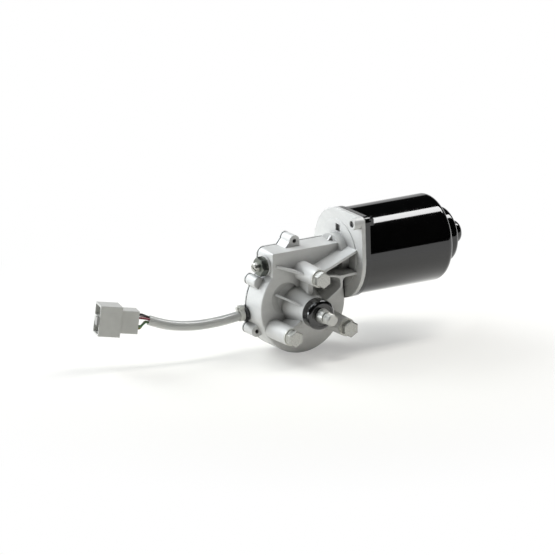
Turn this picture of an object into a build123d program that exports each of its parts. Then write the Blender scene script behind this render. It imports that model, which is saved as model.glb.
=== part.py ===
from build123d import *
from math import acos, cos, degrees, pi, radians, sin, tan
import os

os.makedirs("parts", exist_ok=True)

# Frame: X runs along the armature towards the motor can, Z is up, the output shaft points along -Y.
# The origin is on the output shaft's axis, in the plane of the three mounting seats. Millimetres.

# Worm drive
module = 1.25
wheel_teeth = 52
worm_pitch_r = 5.675
pressure_angle = 20.0
flank_play = 0.2
wheel_width = 10.0
worm_turns = 8
wheel_pitch_r = module * wheel_teeth / 2
wheel_tip_r = wheel_pitch_r + module
wheel_root_r = wheel_pitch_r - 1.25 * module
worm_tip_r = worm_pitch_r + module
worm_root_r = worm_pitch_r - 1.25 * module
worm_lead = pi * module

# Clearances
running_gap = 0.05
seat_gap = 0.05
free_gap = 0.3

# Planes along Y, from the mounting seats back to the cover
boss_length = 27.3
case_depth = 24.1
motor_set_back = 11.0
floor_t = 4.2
gasket_t = 1.2
cover_t = 1.6
front_y = boss_length
floor_y = front_y + floor_t
parting_y = front_y + case_depth
cover_y = parting_y + gasket_t
cover_back_y = cover_y + cover_t
motor_y = front_y + motor_set_back
motor_z = wheel_pitch_r + worm_pitch_r

# Gear case
wheel_room = 3.75
case_wall = 4.9
case_x = 1.2
case_z = 0.8
box_left = 29.5
box_wall = 4.75
box_round_front = 1.0
box_round_back = 6.0
front_round = 1.2
pocket_half = 8.0
pocket_left = 18.5
pocket_right = 33.0
box_right = 36.0
chamber_r = wheel_tip_r + wheel_room
case_r = chamber_r + case_wall
box_top = motor_z + pocket_half + box_wall

# Mounting bosses and their bolts
boss_circle_r = 32.0
boss_angles = (90.0, 210.0, 330.0)
boss_tip_r = 7.9
boss_root_r = 8.6
bolt_r = 4.0
bolt_flats = 13.0
bolt_head_h = 5.3
bolt_depth = 18.0
flat_washer_r = 7.9
flat_washer_t = 1.6
spring_washer_r = 6.6
spring_washer_t = 2.0
washer_slit = 0.9
head_bevel = 0.6

# Hub for the output shaft
hub_root_r = 19.0
hub_tip_r = 13.0
bush_wall = 2.0
bush_length = 10.0

# Output shaft: places along Y and radii, from the wheel to the threaded end
shaft_r = 6.0
serration_r = 6.6
serration_front_r = 5.4
serration_depth = 0.45
serration_count = 24
neck_r = 4.3
thread_r = 5.0
shoulder_y = -5.9
neck_y = -13.2
thread_y = -14.8
shaft_end_y = -23.4
wheel_hub_r = 11.0
wheel_web_t = 4.0
wheel_rim_t = 3.5
hub_wall = 3.0
thread_chamfer = 0.9
park_disc_t = 0.8
park_notch = (12.0, 9.0)

# Black seal cap at the hub
cap_r = 13.4
cap_front_y = -5.7
cap_back_y = 5.1
cap_dish_r = 9.6
cap_dish_depth = 0.5
cap_rim_round = 3.4

# Ribs and recess on the front of the case
rib_t = 2.2
rib_front_y = 8.0
gusset_t = 2.0
recess_depth = 2.5
recess_place = Vector(-16.3, 9.7)
recess_r = 14.0
recess_floor_place = Vector(-10.8, 8.6)
recess_floor_r = 11.8
shelf_start = (6.0, 32.0)
shelf_end_z = 47.4
arm_start = (6.0, 31.0)
arm_middle = (20.0, 28.6)
arm_corner = (27.4, 26.9)
arm_end_z = 27.4
hub_arm_start = (10.5, 5.6)
hub_arm_low = (23.5, 13.6)
hub_arm_high = (28.6, 18.0)
hub_arm_rounds = (6.0, 5.0)
junction_round = 4.0
left_arm_t = 1.6
top_web_t = 5.0
top_web_front_y = 13.0
low_web_t = 2.2
boss_web_from = 0.45
boss_web_to = 0.9
box_gusset_foot = (-26.0, 39.5)
box_gusset_top_y = 10.0
case_gusset_foot = (-27.6, 15.0)
case_gusset_top_z = 6.5
case_gusset_top_y = 6.6
gusset_foot_h = 1.6

# Neck, flange and motor can
neck_x = box_right
collar_r = 18.5
flange_x = 43.8
flange_t = 3.6
step_h = 0.5
hollow_depth = 0.8
slot_from_r = 19.2
slot_to_r = 25.5
slot_width = 7.0
slot_depth = 2.6
tab_w = 2.4
tab_l = 4.0
tab_h = 4.4
ear_r = 5.2
ear_boss_h = 7.0
ear_angles = (133.3, 313.3)
can_r = 37.9
can_wall = 2.0
rim_t = 4.8
can_length = 90.9
can_corner = 5.5
end_boss_r = 24.3
end_boss_h = 13.7
end_boss_round = 4.0
tail_r = 10.0
tail_h = 13.0
tail_round = 4.5
deep_foot_round = 1.5
flange_r = can_r + 1.4
step_r = can_r - 8.4
ear_circle_r = can_r + 9.6
can_bolt_r = 3.0
can_bolt_flats = 9.0
can_bolt_head_h = 4.2
can_bolt_collar_t = 1.2
can_x = flange_x + flange_t
rim_right_x = can_x + rim_t
can_end_x = can_x + can_length
end_boss_x = can_end_x + end_boss_h
tail_x = end_boss_x + tail_h

# Cover screws and their lugs
lug_r = 5.0
lug_depth = 14.0
lug_web = 5.0
lug_end_wall = 2.0
side_lug_angles = (147.0, 206.0, 318.0, 26.5)
side_lug_radii = (44.0, 43.3, 42.5, 41.0)
top_lug_x = -1.2
screw_r = 1.8
screw_head_r = 3.6
screw_head_h = 2.4
screw_length = 8.0
screw_head_round = 1.0
recess_l = 3.8
recess_w = 0.9

# Cover's dish
dish_inset = 8.0
dish_h = 5.0

# Thrust adjuster at the worm's end
adjuster_collar_r = 8.8
adjuster_collar_h = 2.0
adjuster_r = 4.0
adjuster_depth = 4.5
lock_nut_flats = 15.0
lock_nut_h = 6.2
lock_nut_turn = 8.0
nut_flange_r = 8.0
nut_flange_t = 1.5
adjuster_tip = 4.6
slot_w = 1.2
slot_turn = 20.0
tip_chamfer = 0.7
worm_end = 5.0
bush_end = 6.0

# Armature
armature_r = 4.0
shaft_end_gap = 6.0
worm_bush_r = 6.5
bearing_r = 11.0
bearing_inner_r = 6.0
bearing_outer_wall = 2.0
bearing_width = 7.0
bearing_x = 36.5
retainer_t = 1.2
commutator_r = 12.0
commutator_length = 20.0
commutator_gap = 0.5
segment_count = 12
segment_cut = (1.4, 0.7)
riser_w = 2.5
riser_h = 1.4
core_x = 81.0
core_length = 44.0
core_slots = 12
slot_w_core = 4.0
slot_inner_r = 13.0
slot_lip = 2.0
air_gap = 0.9
magnet_t = 6.0
magnet_span = 130.0
winding_reach = 6.0
winding_round = 2.0
core_mouth_w = 1.6
tail_bearing_length = 9.0
tail_bearing_place = 3.0
tail_retainer_t = 0.8

# Brush gear
brush_plate_r = can_r - can_wall - 2.7
brush_plate_t = 2.0
brush_plate_place = 1.0
brush_contact = 0.1
commutator_x = can_x + brush_plate_place + brush_plate_t + commutator_gap
brush_angles = (0.0, 180.0, 285.0)
brush_w = 5.0
brush_h = 6.0
brush_length = 11.0
holder_wall = 0.8
holder_length = 13.0
holder_gap = 2.5
spring_t = 0.5
spring_w = 3.0

# Cable, wires and connector
cable_d = 8.6
wire_d = 2.1
grommet_r = 6.1
grommet_out = 3.0
clamp_w = 3.8
clamp_wall = 1.1
clamp_block = 5.0
clamp_block_w = 4.6
clamp_block_h = 4.2
clamp_screw_r = 1.5
clamp_screw_h = 2.0
shell_l = 19.4
shell_d = 18.1
shell_h = 26.6
tail_body_l = 15.8
tail_body_d = 14.2
tail_body_h = 19.8
shell_wall = 1.4
shell_depth = 14.0
key_h = 6.0
terminal_w = 1.2
terminal_l = 6.0
latch_l = 2.4
latch_w = 6.0
wire_circle_r = 2.5
wire_bend_r = 2.2
wire_straight = 3.2
mouth = Vector(-173.1, 80.9, 2.7)
connector_out = Vector(0.944, -0.302, -0.129)
connector_up = Vector(0.138, 0.009, 0.990)

cable_route = [
    (-38.0, 51.3, -6.0),
    (-55.0, 51.6, -8.0),
    (-72.0, 52.6, -9.6),
    (-89.0, 54.9, -10.1),
    (-105.0, 58.4, -8.9),
    (-119.0, 62.8, -6.0),
    (-129.8, 67.0, -1.8),
]


def polar(radius, angle):
    """Point at a radius and an angle in degrees."""
    return radius * cos(radians(angle)), radius * sin(radians(angle))


def along_y(sketch, y_from, y_to):
    """Solid with a section drawn in X and Z, between two planes across Y."""
    return Pos(0, y_to, 0) * extrude(Plane.XZ * sketch, y_to - y_from)


def along_x(sketch, x_from, x_to):
    """Solid with a section drawn in Y and Z, between two planes across X."""
    return Pos(x_from, 0, 0) * extrude(Plane.YZ * sketch, x_to - x_from)


def on_motor(sketch):
    """Section drawn about the motor axis, moved to its place in Y and Z."""
    return Pos(motor_y, motor_z) * sketch


def round_y(x, z, radius, y_from, y_to):
    """Cylinder along Y."""
    return along_y(Pos(x, z) * Circle(radius), y_from, y_to)


def round_x(radius, x_from, x_to):
    """Cylinder on the motor axis."""
    return along_x(on_motor(Circle(radius)), x_from, x_to)


def ring_x(outer, inner, x_from, x_to):
    """Ring on the motor axis."""
    return along_x(on_motor(Circle(outer) - Circle(inner)), x_from, x_to)


def ring_y(outer, inner, y_from, y_to):
    """Ring on the output shaft's axis."""
    return along_y(Circle(outer) - Circle(inner), y_from, y_to)


def cone_y(x, z, radius_back, radius_front, y_back, y_front):
    """Round post along Y that narrows towards the front."""
    plane = Plane(origin=(x, y_back, z), x_dir=(1, 0, 0), z_dir=(0, -1, 0))
    start = (Align.CENTER, Align.CENTER, Align.MIN)
    return plane * Cone(radius_back, radius_front, y_back - y_front, align=start)


def wall(points, thickness):
    """Sketch of a rib of one thickness along a line of points."""
    return trace(Polyline(*points), thickness)


def hexagon(across_flats):
    """Hexagon with a corner upwards."""
    return Rot(0, 0, 30) * RegularPolygon(across_flats / 2, 6, major_radius=False)


def save(name, shape):
    """Write one node's solids to its STEP file."""
    solids = shape.solids()
    whole = solids[0] if len(solids) == 1 else Compound(children=list(solids))
    export_step(whole, "parts/" + name + ".step")


# Places that several pieces share

boss_places = [polar(boss_circle_r, angle) for angle in boss_angles]
side_lugs = [polar(radius, angle) for radius, angle in zip(side_lug_radii, side_lug_angles)]
case_left = case_x - case_r
top_lug = (top_lug_x, box_top + lug_r)
lug_places = side_lugs + [top_lug]
grommet_y = cable_route[0][1]
grommet_z = cable_route[0][2]
ear_places = [polar(ear_circle_r, angle) for angle in ear_angles]


def box_section(corner_round):
    """Outline of the worm's box, with its upper left corner rounded."""
    box = Pos((box_right - box_left) / 2, box_top / 2) * Rectangle(box_left + box_right, box_top)
    corner = box.vertices().group_by(Axis.Y)[-1].sort_by(Axis.X)[0]
    return fillet(corner, corner_round)


def case_section():
    """Outline of the gear case at the cover: a round chamber and the worm's box on top of it."""
    return Pos(case_x, case_z) * Circle(case_r) + box_section(box_round_back)


def worm_box():
    """The worm's box: its upper left edge grows rounder from the front to the cover."""
    front = Pos(0, front_y, 0) * (Plane.XZ * box_section(box_round_front))
    back = Pos(0, parting_y, 0) * (Plane.XZ * box_section(box_round_back))
    return loft([front.face(), back.face()], ruled=True)


def lug_section(radius):
    """Lugs for the cover's screws, each with a web that leads into the case."""
    shape = Sketch()
    for x, z in side_lugs:
        inward = Vector(x, z).normalized() * lug_web
        web = wall([(x, z), (x - inward.X, z - inward.Y)], 2 * radius)
        shape = shape + Pos(x, z) * Circle(radius) + web
    x, z = top_lug
    foot = z - lug_r - 1
    corners = [(x - radius - lug_web, foot), (x + radius, foot), (x + radius, z), (x - radius, z)]
    return shape + Pos(x, z) * Circle(radius) + Polygon(*corners, align=None)


def chamber_section():
    """Inside of the case: the wheel's chamber and the worm's pocket."""
    width = pocket_left + pocket_right
    pocket = Pos((pocket_right - pocket_left) / 2, motor_z) * Rectangle(width, 2 * pocket_half)
    return Circle(chamber_r) + pocket


def flange_section():
    """Outline of the motor flange: a circle whose two ears run out of it along tangents."""
    shape = Circle(flange_r)
    spread = degrees(acos((flange_r - ear_r) / ear_circle_r))
    for angle, (y, z) in zip(ear_angles, ear_places):
        corners = []
        for side in (-1, 1):
            ty, tz = polar(1, angle + side * spread)
            pair = [(flange_r * ty, flange_r * tz), (y + ear_r * ty, z + ear_r * tz)]
            corners += pair if side == -1 else pair[::-1]
        shape = shape + Pos(y, z) * Circle(ear_r) + Polygon(*corners, align=None)
    return on_motor(shape)


def front_ribs():
    """Ribs that tie the bosses, the hub and the motor flange to the front of the case."""
    shelf = wall([shelf_start, (flange_x + 1, shelf_end_z)], rib_t)
    right_arm = wall([arm_corner, (flange_x + 1, arm_end_z)], rib_t)
    left_arm = wall([arm_start, arm_middle, arm_corner], left_arm_t)
    bend = FilletPolyline(hub_arm_start, hub_arm_low, hub_arm_high, arm_corner, radius=hub_arm_rounds)
    arms = right_arm + left_arm + trace(bend, rib_t)
    near = arms.vertices().sort_by_distance(Vector(*arm_corner))
    below = [v for v in near if v.Y < arm_corner[1] - left_arm_t / 4]
    arms = fillet(below[:2], junction_round)
    return along_y(shelf + arms, rib_front_y, front_y + 1)


def flange_ribs():
    """Backs of the two ribs that reach the flange, beside the neck."""
    slope = (shelf_end_z - shelf_start[1]) / (flange_x + 1 - shelf_start[0])
    shelf_z = shelf_end_z - slope * (flange_x + 1 - neck_x)
    shelf = wall([(neck_x, shelf_z), (flange_x + 1, shelf_end_z)], rib_t)
    right_arm = wall([(neck_x, arm_end_z), (flange_x + 1, arm_end_z)], rib_t)
    return along_y(shelf + right_arm, rib_front_y, motor_y)


def boss_webs():
    """Webs between the bosses and the hub, and the gusset from the box to the top boss."""
    shape = Part()
    sizes = ((top_web_t, top_web_front_y), (low_web_t, rib_front_y))
    for (x, z), (thickness, web_front_y) in zip(boss_places, sizes):
        ends = [(x * part, z * part) for part in (boss_web_from, boss_web_to)]
        shape = shape + along_y(wall(ends, thickness), web_front_y, front_y + 1)
    return shape


def recess():
    """Round hollow beside the hub, with a sloping wall: a cutting tool that leaves the hub alone."""
    ends = []
    for part in (-0.4, 1.0):
        place = recess_place + (recess_floor_place - recess_place) * part
        radius = recess_r + (recess_floor_r - recess_r) * part
        y = front_y + recess_depth * part
        ends.append(Pos(0, y, 0) * (Plane.XZ * (Pos(place.X, place.Y) * Circle(radius))))
    hollow = loft([end.face() for end in ends], ruled=True)
    return hollow - round_y(0, 0, hub_root_r, front_y - 2, front_y + recess_depth + 1)


def sloped_gusset(foot, top, top_y):
    """Triangular rib from a foot on the case's front up to a post."""
    fx, fz = foot
    tx, tz = top
    run = Vector(tx - fx, 0, tz - fz)
    plane = Plane(origin=(fx, front_y + 1, fz), x_dir=run, z_dir=run.cross(Vector(0, 1, 0)))
    height = front_y + 1 - top_y
    profile = Polygon((0, 0), (run.length, 0), (run.length, height), (0, gusset_foot_h), align=None)
    if plane.y_dir.Y > 0:
        profile = mirror(profile, about=Plane.XZ)
    return plane * extrude(profile, gusset_t / 2, both=True)


def gear_housing():
    """Die-cast case with its bosses, hub, ribs, neck and motor flange, then its bores."""
    drum = round_y(case_x, case_z, case_r, front_y, parting_y)
    drum = fillet(drum.edges().group_by(Axis.Y)[0], front_round)
    body = drum + worm_box() + along_y(lug_section(lug_r), parting_y - lug_depth, parting_y)
    for x, z in boss_places:
        body = body + cone_y(x, z, boss_root_r, boss_tip_r, front_y + 1, 0)
    body = body + cone_y(0, 0, hub_root_r, hub_tip_r, front_y + 1, cap_back_y)
    body = body + front_ribs() + flange_ribs() + boss_webs()
    top_boss = (1 - boss_tip_r, boss_circle_r + 1)
    body = body + sloped_gusset(box_gusset_foot, top_boss, box_gusset_top_y)
    body = body + sloped_gusset(case_gusset_foot, (2 - hub_tip_r, case_gusset_top_z), case_gusset_top_y)
    body = body + motor_flange() + round_x(adjuster_collar_r, -box_left - adjuster_collar_h, -box_left + 1)
    return body - housing_bores() - flange_bores()


def motor_flange():
    """Neck, flange with its step and its two ear bosses, and the small tab on the box."""
    body = round_x(collar_r, neck_x, flange_x + 1) + along_x(flange_section(), flange_x, can_x)
    body = body + ring_x(step_r, collar_r - 1, flange_x - step_h, flange_x + 1)
    for y, z in ear_places:
        body = body + along_x(on_motor(Pos(y, z) * Circle(ear_r)), flange_x - ear_boss_h, flange_x + 1)
    low = box_top - 1
    corners = [(neck_x - tab_l, low), (neck_x + 0.5, low), (neck_x + 0.5, box_top + tab_h)]
    return body + along_y(Polygon(*corners, align=None), motor_y - tab_w / 2, motor_y + tab_w / 2)


def housing_bores():
    """Chamber, shaft, bolt and screw holes, recess and cable way, as one cutting tool."""
    cut = along_y(chamber_section(), floor_y, parting_y + 1)
    cut = cut + round_x(pocket_half, -pocket_left, pocket_right)
    cut = cut + round_y(0, 0, shaft_r + bush_wall + seat_gap, cap_back_y - 1, floor_y + 1)
    cut = cut + recess()
    for x, z in boss_places:
        cut = cut + round_y(x, z, bolt_r + seat_gap, -1, bolt_depth + 2)
    for x, z in lug_places:
        end_wall = lug_end_wall if (x, z) == side_lugs[0] else -1
        cut = cut + round_y(x, z, screw_r + seat_gap, parting_y - lug_depth + end_wall, parting_y + 1)
    return cut + grommet_way(seat_gap)


def flange_bores():
    """Everything cut about the motor axis: adjuster, bush, bearing, hollow, slot and ear holes."""
    cut = round_x(adjuster_r + seat_gap, -box_left - adjuster_collar_h - 1, -box_left + adjuster_depth + 0.5)
    cut = cut + round_x(worm_bush_r + seat_gap, -box_left + adjuster_depth - 0.5, -pocket_left + 1)
    cut = cut + round_x(bearing_r + seat_gap, bearing_x, can_x + 1)
    cut = cut + round_x(armature_r + 4, pocket_right - 1, bearing_x + 1)
    cut = cut + round_x(brush_plate_r - 3, can_x - hollow_depth, can_x + 1)
    slot = on_motor(Pos(0, (slot_from_r + slot_to_r) / 2) * Rectangle(slot_width, slot_to_r - slot_from_r))
    cut = cut + along_x(slot, flange_x - step_h - 1, flange_x - step_h + slot_depth)
    for y, z in ear_places:
        hole = on_motor(Pos(y, z) * Circle(can_bolt_r + seat_gap))
        cut = cut + along_x(hole, flange_x - ear_boss_h - 1, can_x + 1)
    return cut


def grommet_way(gap):
    """Round way through the case's side wall, along X, for the cable's grommet."""
    return along_x(Pos(grommet_y, grommet_z) * Circle(grommet_r + gap), case_left - 6, case_left + 8)


def gasket():
    """Flat gasket that follows the case's outline and its lugs."""
    outline = case_section() + lug_section(lug_r)
    holes = chamber_section()
    for x, z in lug_places:
        holes = holes + Pos(x, z) * Circle(screw_r + seat_gap)
    return along_y(outline - holes, parting_y, cover_y) - grommet_way(seat_gap)


def cover():
    """Pressed cover plate with a shallow dish, its screw holes and a raised way for the cable."""
    plate = along_y(case_section() + lug_section(lug_r), cover_y, cover_back_y)
    outer = chamber_r - dish_inset
    inner = outer - cover_t
    plate = plate + cone_y(0, 0, outer - dish_h, outer, cover_back_y + dish_h, cover_y)
    plate = plate - cone_y(0, 0, inner - dish_h, inner, cover_back_y + dish_h - cover_t, cover_y - 1e-3)
    way = Pos(grommet_y, grommet_z) * Circle(grommet_r + seat_gap)
    hood = along_x(offset(way, cover_t), case_left - 1, -outer + 2)
    hood = hood & along_y(Rectangle(4 * case_r, 4 * case_r), cover_y, parting_y + 2 * grommet_r)
    plate = plate + hood - along_x(way, case_left - 6, -outer + 2 + cover_t)
    for x, z in lug_places:
        plate = plate - round_y(x, z, screw_r + seat_gap, cover_y - 1, cover_back_y + 1)
    return plate


def cover_screws():
    """Pan-head screws from the back into the lugs."""
    screws = []
    for x, z in lug_places:
        shank = round_y(x, z, screw_r, cover_back_y - screw_length - cover_t, cover_back_y)
        head = round_y(x, z, screw_head_r, cover_back_y, cover_back_y + screw_head_h)
        head = fillet(head.edges().group_by(Axis.Y)[-1], screw_head_round)
        driver = Pos(x, z) * (Rectangle(recess_l, recess_w) + Rectangle(recess_w, recess_l))
        screws.append(shank + head - along_y(driver, cover_back_y + screw_head_h / 2, cover_back_y + 5))
    return Compound(children=screws)


def mounting_bolts():
    """Hexagon bolts through spring and flat washers into the bosses."""
    bolts = []
    head_y = -flat_washer_t - spring_washer_t
    for x, z in boss_places:
        head = along_y(Pos(x, z) * hexagon(bolt_flats), head_y - bolt_head_h, head_y)
        head = chamfer(head.edges().group_by(Axis.Y)[0], head_bevel)
        bolts.append(head + round_y(x, z, bolt_r, head_y - 0.5, bolt_depth))
    return Compound(children=bolts)


def washers(radius, y_from, y_to, split):
    """Washers under the three bolt heads; a spring washer is split at one side."""
    rings = []
    for x, z in boss_places:
        ring = along_y(Pos(x, z) * (Circle(radius) - Circle(bolt_r + seat_gap)), y_from, y_to)
        if split:
            slit = Pos(x, z - radius) * Rot(0, 0, 12) * Rectangle(washer_slit, 2 * radius - 2)
            ring = ring - along_y(slit, y_from - 1, y_to + 1)
        rings.append(ring)
    return Compound(children=rings)


def seal_cap():
    """Black cap round the shaft: rounded rim, flat dish and a lip on the shaft."""
    body = round_y(0, 0, cap_r, cap_front_y, cap_back_y)
    body = fillet(body.edges().group_by(Axis.Y)[0], cap_rim_round)
    body = body - round_y(0, 0, cap_dish_r, cap_front_y - 1, cap_front_y + cap_dish_depth)
    return body - round_y(0, 0, shaft_r + running_gap, cap_front_y - 1, cap_back_y + 1)


def shaft_bush(y_from):
    """Sintered bush for the output shaft."""
    return ring_y(shaft_r + bush_wall, shaft_r + running_gap, y_from, y_from + bush_length)


def involute_half(radius, play):
    """Half the angle of a wheel tooth at a radius, in degrees."""
    base_r = wheel_pitch_r * cos(radians(pressure_angle))
    at_pitch = radians(pressure_angle)
    here = acos(base_r / radius)
    rolled = (tan(at_pitch) - at_pitch) - (tan(here) - here)
    return degrees(pi / wheel_teeth / 2 - play / wheel_pitch_r + rolled)


def wheel_outline(turn):
    """Wheel's toothed outline as a wire in X and Z, turned about the shaft by an angle in degrees."""
    points = []
    for tooth in range(wheel_teeth):
        middle = 90 + (tooth + 0.5) * 360 / wheel_teeth + turn
        root = involute_half(wheel_root_r, flank_play)
        tip = involute_half(wheel_tip_r, flank_play)
        points += [polar(wheel_root_r, middle - root), polar(wheel_tip_r, middle - tip)]
        points += [polar(wheel_tip_r, middle + tip), polar(wheel_root_r, middle + root)]
    return Polyline(*points, close=True)


def worm_wheel():
    """Toothed ring of the worm wheel with its web; the teeth lie at the worm's lead angle."""
    half = wheel_width / 2
    twist = degrees(half * worm_lead / (2 * pi * worm_pitch_r) / wheel_pitch_r)
    back = Pos(0, motor_y + half, 0) * (Plane.XZ * make_face(wheel_outline(-twist)))
    front = Pos(0, motor_y - half, 0) * (Plane.XZ * make_face(wheel_outline(twist)))
    ring = loft([front.face(), back.face()], ruled=True)
    for side in (-1, 1):
        near, far = sorted((motor_y + side * wheel_web_t / 2, motor_y + side * (half + 1)))
        ring = ring - ring_y(wheel_root_r - wheel_rim_t, wheel_hub_r + hub_wall, near, far)
    return ring - round_y(0, 0, wheel_hub_r, motor_y - half - 1, motor_y + half + 1)


def wheel_hub():
    """Metal hub pressed on the shaft, inside the wheel's web."""
    half = wheel_width / 2
    return ring_y(wheel_hub_r, shaft_r, motor_y - half, motor_y + half)


def output_shaft():
    """Output shaft: journal, serrated cone, neck and threaded end."""
    shaft = round_y(0, 0, shaft_r, shoulder_y, motor_y + wheel_width / 2 + 2)
    cone = cone_y(0, 0, serration_r, serration_front_r, shoulder_y, neck_y)
    for k in range(serration_count):
        angle = 360 * k / serration_count
        square = Rot(0, 0, 45) * Rectangle(2 * serration_depth, 2 * serration_depth)
        cone = cone - along_y(Rot(0, 0, angle) * Pos(serration_r, 0) * square, neck_y - 1, shoulder_y - 0.6)
    end = round_y(0, 0, thread_r, shaft_end_y, thread_y)
    end = chamfer(end.edges().group_by(Axis.Y)[0], thread_chamfer)
    return shaft + cone + round_y(0, 0, neck_r, thread_y - 0.5, neck_y + 0.5) + end


def park_disc():
    """Thin contact disc on the wheel's back, with the notch that stops the wiper at park."""
    y = motor_y + wheel_width / 2
    disc = ring_y(wheel_root_r - 5, wheel_hub_r + 1, y, y + park_disc_t)
    return disc - along_y(Pos(0, wheel_root_r - 8) * Rectangle(*park_notch), y - 1, y + 2)


def worm_shaft():
    """Armature shaft with the worm cut on it."""
    body = round_x(armature_r, -pocket_left - worm_end, tail_x - shaft_end_gap)
    height = worm_turns * worm_lead
    body = body + round_x(worm_root_r, -height / 2 - 1.5, height / 2 + 1.5)
    inner_r = worm_root_r - 0.3
    slope = tan(radians(pressure_angle))
    tip_half = worm_lead / 4 - flank_play / 2 - (worm_tip_r - worm_pitch_r) * slope
    inner_half = worm_lead / 4 - flank_play / 2 + (worm_pitch_r - inner_r) * slope
    path = Helix(worm_lead, height, worm_pitch_r, center=(0, 0, -height / 2))
    corners = [(inner_r, -inner_half), (worm_tip_r, -tip_half), (worm_tip_r, tip_half), (inner_r, inner_half)]
    start = Plane(origin=(0, 0, -height / 2), x_dir=(1, 0, 0), z_dir=(0, -1, 0))
    thread = sweep(start * make_face(Polyline(*corners, close=True)), path, is_frenet=True)
    place = Plane(origin=(0, motor_y, motor_z), x_dir=(0, 0, -1), z_dir=(1, 0, 0))
    return body + place * thread


def can_profile(inset, x_start):
    """Half section of the can about the motor axis: the main drum, the end boss and the tail."""
    r1 = can_r - inset
    r2 = end_boss_r - inset
    r3 = tail_r - inset
    x1 = can_end_x - inset
    x2 = end_boss_x - inset
    x3 = tail_x - inset
    corners = [(x_start, 0), (x_start, r1), (x1, r1), (x1, r2), (x2, r2), (x2, r3), (x3, r3), (x3, 0)]
    feet = [deep_foot_round + inset, 1.0 + inset]
    radii = [0, can_corner - inset, feet[0], end_boss_round - inset, feet[1], tail_round - inset]
    outline = FilletPolyline(*corners, radius=radii) + Line(corners[-1], corners[0])
    return revolve(make_face(outline), Axis.X)


def motor_can():
    """Deep-drawn can with its rim plate."""
    shell = can_profile(0, can_x) - can_profile(can_wall, can_x - 1)
    shell = Pos(0, motor_y, motor_z) * shell
    rim = along_x(flange_section() - on_motor(Circle(can_r - can_wall / 2)), can_x, rim_right_x)
    for y, z in ear_places:
        rim = rim - along_x(on_motor(Pos(y, z) * Circle(can_bolt_r + seat_gap)), can_x - 1, rim_right_x + 1)
    return shell + rim


def can_bolts():
    """Flanged hexagon bolts that hold the can to the case."""
    bolts = []
    for y, z in ear_places:
        place = on_motor(Pos(y, z))
        head = along_x(place * hexagon(can_bolt_flats), rim_right_x, rim_right_x + can_bolt_head_h)
        collar = along_x(place * Circle(ear_r - 0.2), rim_right_x, rim_right_x + can_bolt_collar_t)
        shank = along_x(place * Circle(can_bolt_r), flange_x - ear_boss_h + 1, rim_right_x + 1)
        bolts.append(head + collar + shank)
    return Compound(children=bolts)


def arc_band(outer, inner, middle, span):
    """Sketch of a part of a ring about the motor axis."""
    arc = CenterArc((0, 0), (outer + inner) / 2, middle - span / 2, span)
    return on_motor(trace(arc, outer - inner))


def magnets():
    """Two curved ferrite magnets against the can's wall."""
    outer = can_r - can_wall - seat_gap
    inner = outer - magnet_t
    x_from = core_x - 2
    x_to = core_x + core_length + 2
    pair = [along_x(arc_band(outer, inner, angle, magnet_span), x_from, x_to) for angle in (0, 180)]
    return Compound(children=pair)


def magnet_clips():
    """Two sprung strips that spread the magnets apart."""
    outer = can_r - can_wall - seat_gap
    gap = 180 - magnet_span - 2
    clips = []
    for angle in (90, 270):
        band = arc_band(outer, outer - 1.0, angle, gap)
        clips.append(along_x(band, core_x, core_x + core_length))
    return Compound(children=clips)


def armature_core():
    """Stack of laminations with slots for the windings."""
    outer = can_r - can_wall - seat_gap - magnet_t - air_gap
    section = Circle(outer) - Circle(armature_r)
    for k in range(core_slots):
        turn = Rot(0, 0, 360 * (k + 0.5) / core_slots)
        pocket_len = outer - slot_lip - slot_inner_r
        pocket = Pos(slot_inner_r + pocket_len / 2, 0) * Rectangle(pocket_len, slot_w_core)
        mouth_cut = Pos(outer - 1, 0) * Rectangle(4, core_mouth_w)
        section = section - turn * pocket - turn * mouth_cut
    return along_x(on_motor(section), core_x, core_x + core_length)


def windings():
    """Copper windings: a coil side in each slot and a rounded bundle at each end of the core."""
    outer = can_r - can_wall - seat_gap - magnet_t - air_gap - slot_lip - free_gap
    section = Sketch()
    for k in range(core_slots):
        length = outer - slot_inner_r - free_gap
        bar = Pos(slot_inner_r + free_gap + length / 2, 0) * Rectangle(length, slot_w_core - 0.4)
        section = section + Rot(0, 0, 360 * (k + 0.5) / core_slots) * bar
    coils = along_x(on_motor(section), core_x - 1, core_x + core_length + 1)
    for face_x, side, far in ((core_x, -1, 0), (core_x + core_length, 1, -1)):
        near, end = sorted((face_x + side * free_gap, face_x + side * winding_reach))
        bundle = ring_x(outer, slot_inner_r - 3, near, end)
        coils = coils + fillet(bundle.edges().group_by(Axis.X)[far], winding_round)
    return coils


def commutator():
    """Commutator: moulded core with copper segments."""
    section = Circle(commutator_r) - Circle(armature_r)
    for k in range(segment_count):
        cut = Pos(commutator_r - 0.5, 0) * Rectangle(*segment_cut)
        section = section - Rot(0, 0, 360 * k / segment_count) * cut
    end_x = commutator_x + commutator_length
    drum = along_x(on_motor(section), commutator_x, end_x)
    return drum + ring_x(commutator_r + riser_h, armature_r, end_x - riser_w, end_x)


def brush_plate():
    """Insulating plate in the mouth of the can, with its central opening."""
    section = Circle(brush_plate_r) - Circle(commutator_r + 2)
    x_from = can_x + brush_plate_place
    return along_x(on_motor(section), x_from, x_from + brush_plate_t)


def brush_frame(angle):
    """Plane of a brush: its local X runs outwards from the motor axis, its local Z along the motor."""
    y, z = polar(1, angle)
    middle = can_x + brush_plate_place + brush_plate_t + brush_h / 2 + holder_wall
    return Plane(origin=(middle, motor_y, motor_z), x_dir=(0, y, z), z_dir=(1, 0, 0))


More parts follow.
